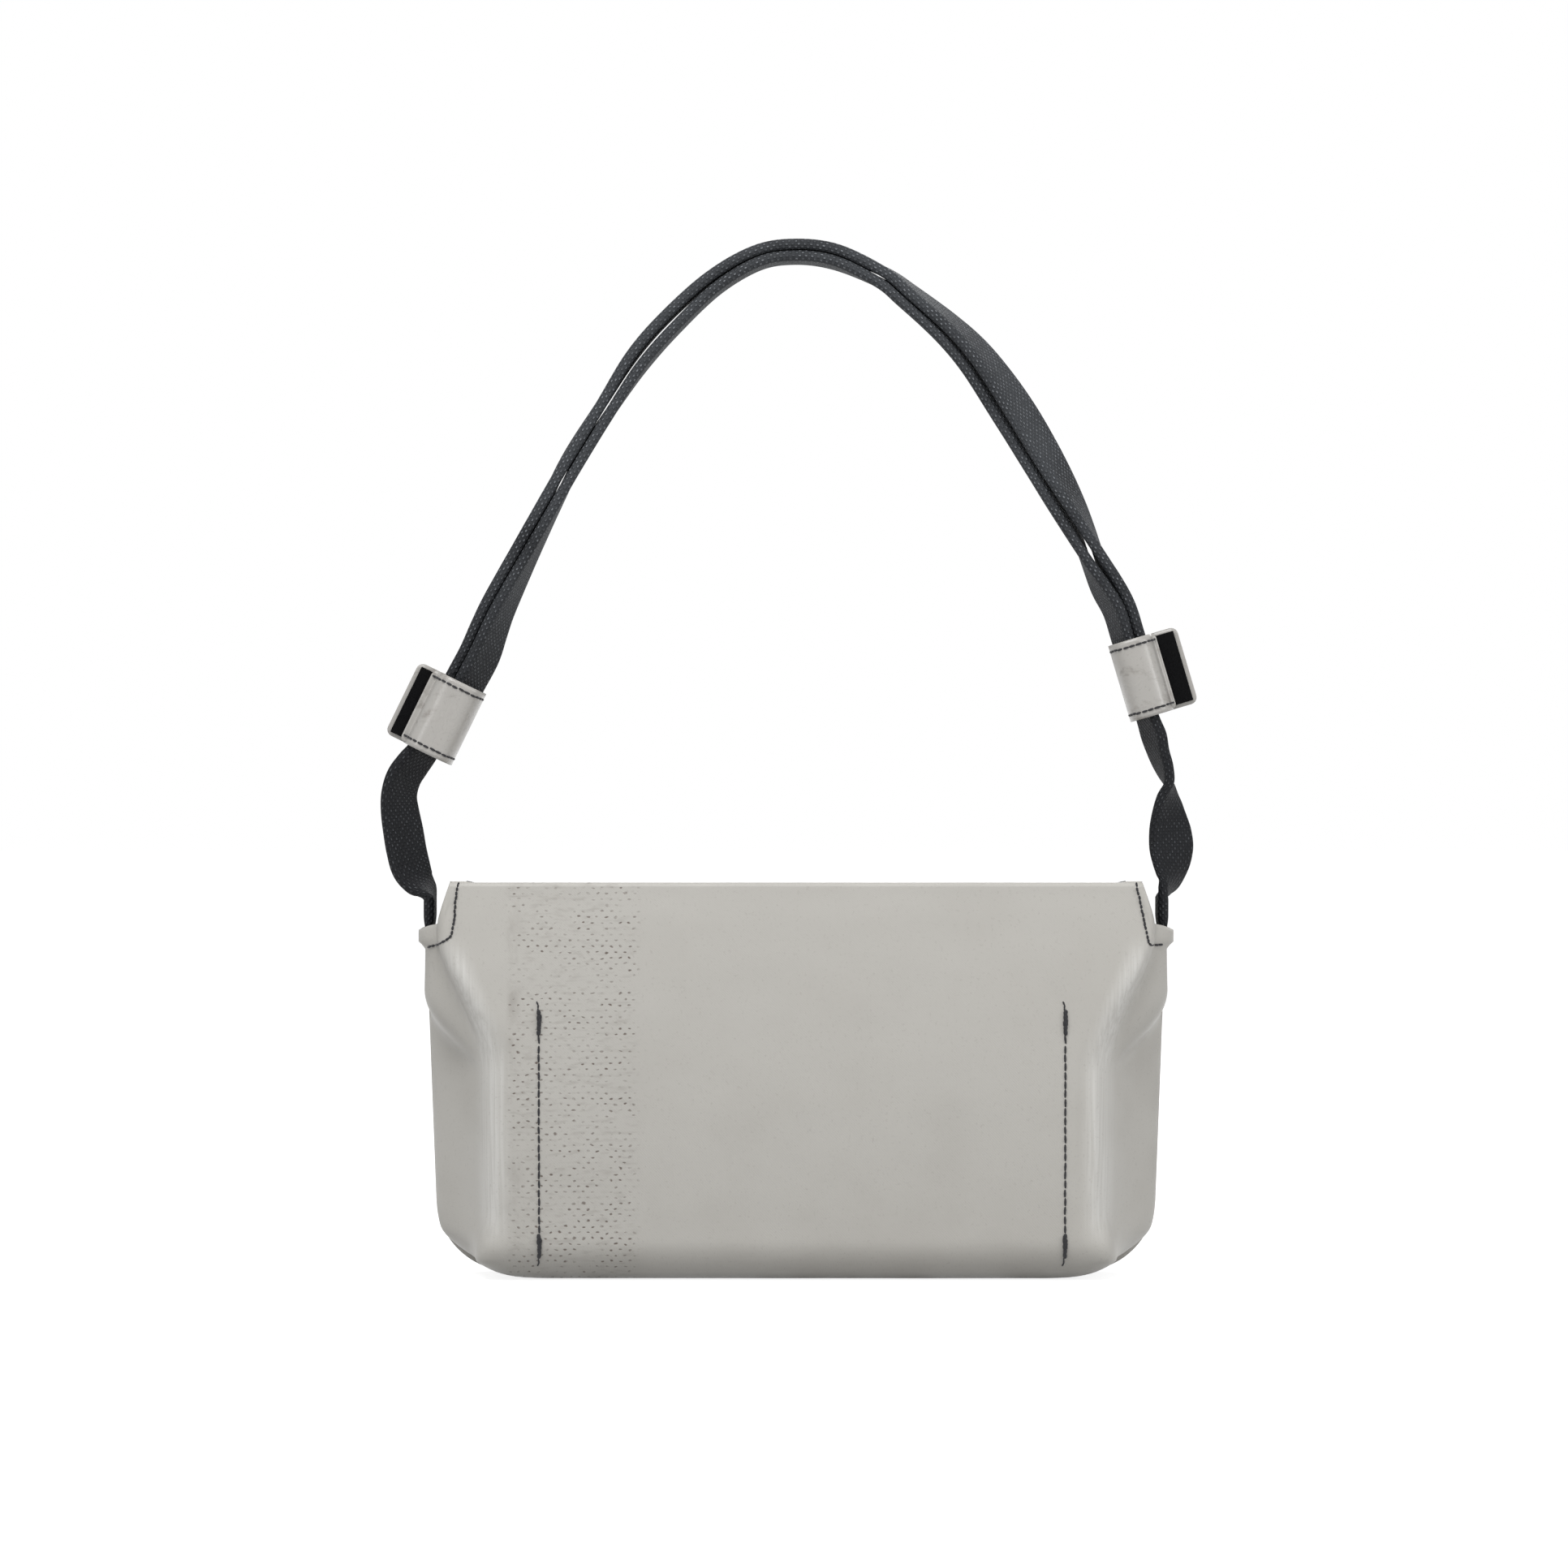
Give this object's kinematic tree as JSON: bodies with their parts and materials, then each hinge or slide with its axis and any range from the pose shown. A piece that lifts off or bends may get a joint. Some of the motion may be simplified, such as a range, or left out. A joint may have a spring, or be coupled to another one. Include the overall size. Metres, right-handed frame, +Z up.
{
  "type": "trapeze shoulder bag",
  "caption": "Trapeze flap shoulder bag of used truck tarpaulin with a doubled webbing strap and two hook-and-loop strap cuffs.",
  "frame": {"origin": "on the ground under the middle of the bag's bottom", "axes": "+Z up along the strap's rise, +Y towards the flap's front, -Y towards the back that the picture shows, +X to the right in the picture"},
  "size_m": [0.3403, 0.0684, 0.431],
  "materials": {
    "tarpaulin": "worn semi-gloss PVC truck tarpaulin, printed weave, dirt specks",
    "thread": "black polyester thread",
    "webbing": "ribbed dark blue-grey webbing",
    "hook_tape": "black hook tape",
    "loop_tape": "black loop tape",
    "lining": "dark grey pocket cloth"
  },
  "bodies": {
    "bag": {"back_panel": "tarpaulin", "front_panel": "tarpaulin", "inner_pocket": "lining", "pocket_seam_left": "thread", "pocket_seam_right": "thread", "side_seam_left": "thread", "side_seam_right": "thread", "bottom_seam": "thread", "mouth_hem_stitches": "thread", "closure_loop_strips": "loop_tape", "left_strap_tail": "webbing", "right_strap_tail": "webbing", "left_tail_patch": "tarpaulin", "right_tail_patch": "tarpaulin", "left_tail_stitches": "thread", "right_tail_stitches": "thread"},
    "flap": {"flap": "tarpaulin", "flap_hem_stitches": "thread", "closure_hook_strips": "hook_tape"},
    "strap": {"left_strap": "webbing", "right_strap": "webbing"},
    "left_cuff": {"left_cuff_wrap": "tarpaulin", "left_cuff_hook": "hook_tape"},
    "left_cover": {"left_cuff_cover": "tarpaulin", "left_cuff_loop": "loop_tape", "left_cuff_stitches": "thread"},
    "right_cuff": {"right_cuff_wrap": "tarpaulin", "right_cuff_hook": "hook_tape"},
    "right_cover": {"right_cuff_cover": "tarpaulin", "right_cuff_loop": "loop_tape", "right_cuff_stitches": "thread"}
  },
  "joints": [
    {"name": "flap_open", "type": "hinge", "parent": "bag", "child": "flap", "pos_m": [0, -0.0275, 0.1642], "axis": [1, 0, 0], "range_deg": [0, 90]},
    {"name": "strap_swing", "type": "hinge", "parent": "bag", "child": "strap", "pos_m": [0, 0, 0.157], "axis": [1, 0, 0], "range_deg": [-90, 90]},
    {"name": "left_cuff_slide", "type": "slide", "parent": "strap", "child": "left_cuff", "axis": [0.4695, 0, 0.8829], "range_m": [0, 0.012]},
    {"name": "right_cuff_slide", "type": "slide", "parent": "strap", "child": "right_cuff", "axis": [-0.3007, 0, 0.9537], "range_m": [0, 0.012]},
    {"name": "left_cuff_open", "type": "hinge", "parent": "left_cuff", "child": "left_cover", "pos_m": [-0.13674, -0.0015, 0.22753], "axis": [0.4384, 0, 0.8988], "range_deg": [0, 100]},
    {"name": "right_cuff_open", "type": "hinge", "parent": "right_cuff", "child": "right_cover", "pos_m": [0.13527, -0.0015, 0.24643], "axis": [0.284, 0, -0.9588], "range_deg": [0, 100]}
  ]
}
